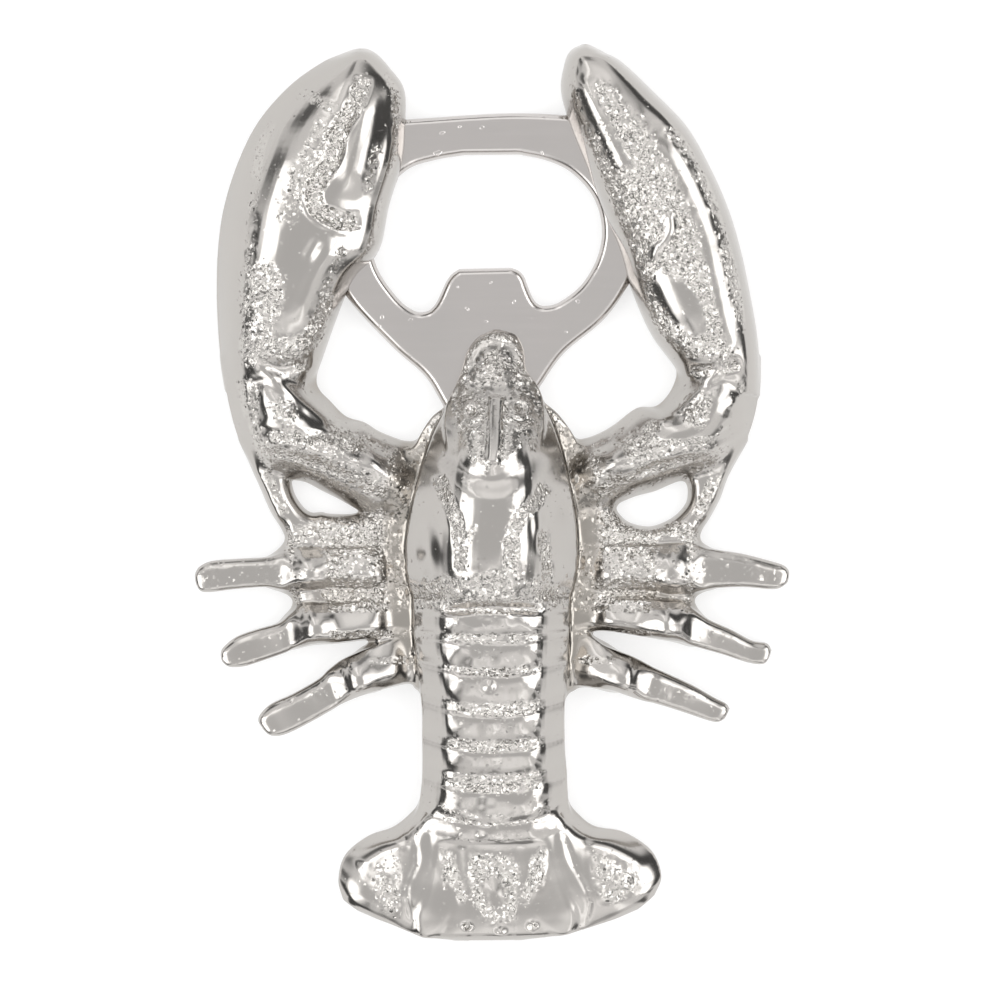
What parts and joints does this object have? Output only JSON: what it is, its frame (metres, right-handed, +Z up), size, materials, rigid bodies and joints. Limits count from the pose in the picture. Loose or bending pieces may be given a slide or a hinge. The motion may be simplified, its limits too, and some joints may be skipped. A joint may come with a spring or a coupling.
{
  "type": "bottle opener",
  "caption": "Flat-backed cast metal lobster bottle opener with a steel cap-lifting plate held between its claws and under its head.",
  "frame": {"origin": "centre of the outer box, on the flat back that the opener lies on", "axes": "+Z up out of the back shell, +Y towards the claw tips, +X to the right seen from above with the claws up"},
  "size_m": [0.1058, 0.16, 0.02],
  "materials": {
    "cast_nickel": "nickel plated casting: mirror polished on the high places, grainy sand-cast skin in the hollows",
    "plate_steel": "smooth nickel plated steel with sheared edges"
  },
  "bodies": {
    "root": {"lobster_casting": "cast_nickel", "opener_insert": "plate_steel"}
  },
  "joints": []
}
